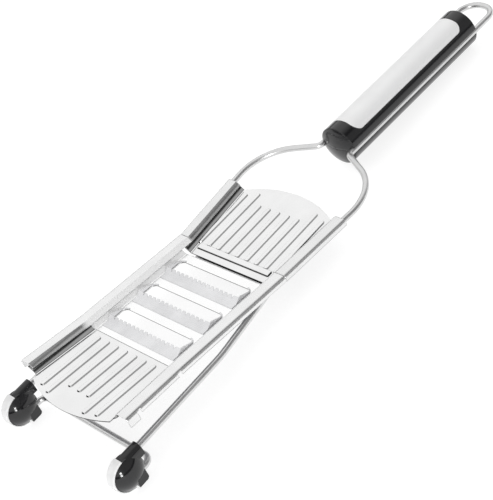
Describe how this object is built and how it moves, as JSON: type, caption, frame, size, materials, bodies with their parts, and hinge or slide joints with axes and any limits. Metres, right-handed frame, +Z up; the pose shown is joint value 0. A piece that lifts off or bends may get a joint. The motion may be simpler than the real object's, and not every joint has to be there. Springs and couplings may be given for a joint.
{
  "type": "mandoline slicer",
  "caption": "Hand-held mandoline slicer: bent wire frame with handle, ribbed steel infeed tray, plug-on unit of toothed blades and outfeed tray, wire legs with soft-nosed feet.",
  "frame": {"origin": "middle of the footprint on the table, under the object's bounding box centre", "axes": "+Y along the tool toward the handle, +Z up from the table, +X to the right of someone holding the handle"},
  "size_m": [0.1102, 0.4154, 0.0381],
  "materials": {
    "wire_steel": "polished steel wire",
    "plate_steel": "bright polished stainless sheet",
    "blade_steel": "ground stainless blade strip",
    "inlay_steel": "satin stainless panel",
    "handle_black": "glossy black moulded plastic",
    "foot_black": "glossy black moulded plastic",
    "pad_soft": "milky soft rubber"
  },
  "bodies": {
    "frame": {"wire_frame": "wire_steel", "handle_upper_shell": "handle_black", "handle_lower_shell": "handle_black", "handle_inlay": "inlay_steel", "left_upper_rail": "plate_steel", "right_upper_rail": "plate_steel", "infeed_tray": "plate_steel", "left_foot_shell": "foot_black", "right_foot_shell": "foot_black", "left_foot_lock": "foot_black", "right_foot_lock": "foot_black", "left_foot_pad": "pad_soft", "right_foot_pad": "pad_soft"},
    "slicing_unit": {"left_lower_rail": "plate_steel", "right_lower_rail": "plate_steel", "blade_bed": "plate_steel", "toothed_blade_1": "blade_steel", "toothed_blade_2": "blade_steel", "toothed_blade_3": "blade_steel", "outfeed_tray": "plate_steel"}
  },
  "joints": [
    {"name": "slicing_unit_draw", "type": "slide", "parent": "frame", "child": "slicing_unit", "axis": [0, -0.9925, 0.1219], "range_m": [0, 0.014]}
  ]
}
